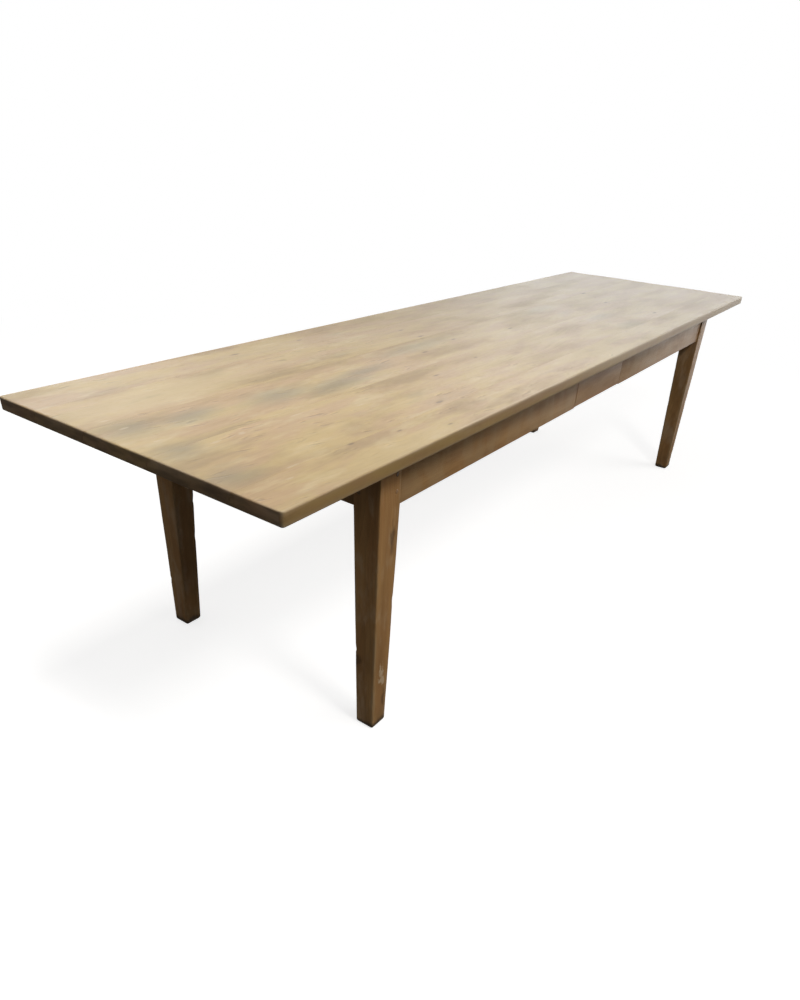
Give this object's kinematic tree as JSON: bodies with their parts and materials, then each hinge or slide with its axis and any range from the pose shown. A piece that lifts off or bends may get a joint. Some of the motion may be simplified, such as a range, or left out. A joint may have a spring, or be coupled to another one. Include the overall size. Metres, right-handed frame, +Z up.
{
  "type": "refectory table",
  "caption": "Long plank-topped farmhouse dining table on square tapered legs, with a pegged leg-and-apron frame and a shallow drawer that slides out of the front apron.",
  "frame": {"origin": "on the floor, under the middle of the table", "axes": "+X along the table's length, +Y from the drawer's side towards the back, +Z up"},
  "size_m": [3.04, 0.87, 0.76],
  "materials": {
    "top_wood": "old waxed softwood, honey brown, worn satin",
    "frame_wood": "old waxed softwood, darker brown",
    "peg_wood": "dark riven hardwood, waxed",
    "inner_wood": "bare planed softwood, dusty and dry",
    "iron": "dark iron, dull"
  },
  "bodies": {
    "table": {"top_plank_1": "top_wood", "top_plank_2": "top_wood", "top_plank_3": "top_wood", "top_plank_4": "top_wood", "top_plank_5": "top_wood", "bearer_1": "inner_wood", "bearer_2": "inner_wood", "bearer_3": "inner_wood", "bearer_4": "inner_wood", "bearer_nails": "iron", "leg_front_left": "frame_wood", "leg_front_right": "frame_wood", "leg_back_right": "frame_wood", "leg_back_left": "frame_wood", "front_apron": "frame_wood", "back_apron": "frame_wood", "end_apron_left": "frame_wood", "end_apron_right": "frame_wood", "long_apron_pegs": "peg_wood", "end_apron_pegs": "peg_wood", "drawer_runner_left": "inner_wood", "drawer_runner_right": "inner_wood", "drawer_guide_left": "inner_wood", "drawer_guide_right": "inner_wood", "guide_nails": "iron", "drawer_stops": "inner_wood"},
    "drawer": {"drawer_front": "frame_wood", "drawer_side_left": "inner_wood", "drawer_side_right": "inner_wood", "drawer_back": "inner_wood", "drawer_bottom": "inner_wood", "drawer_bottom_nails": "iron"}
  },
  "joints": [
    {"name": "drawer_slide", "type": "slide", "parent": "table", "child": "drawer", "axis": [0, -1, 0], "range_m": [0, 0.4]}
  ]
}
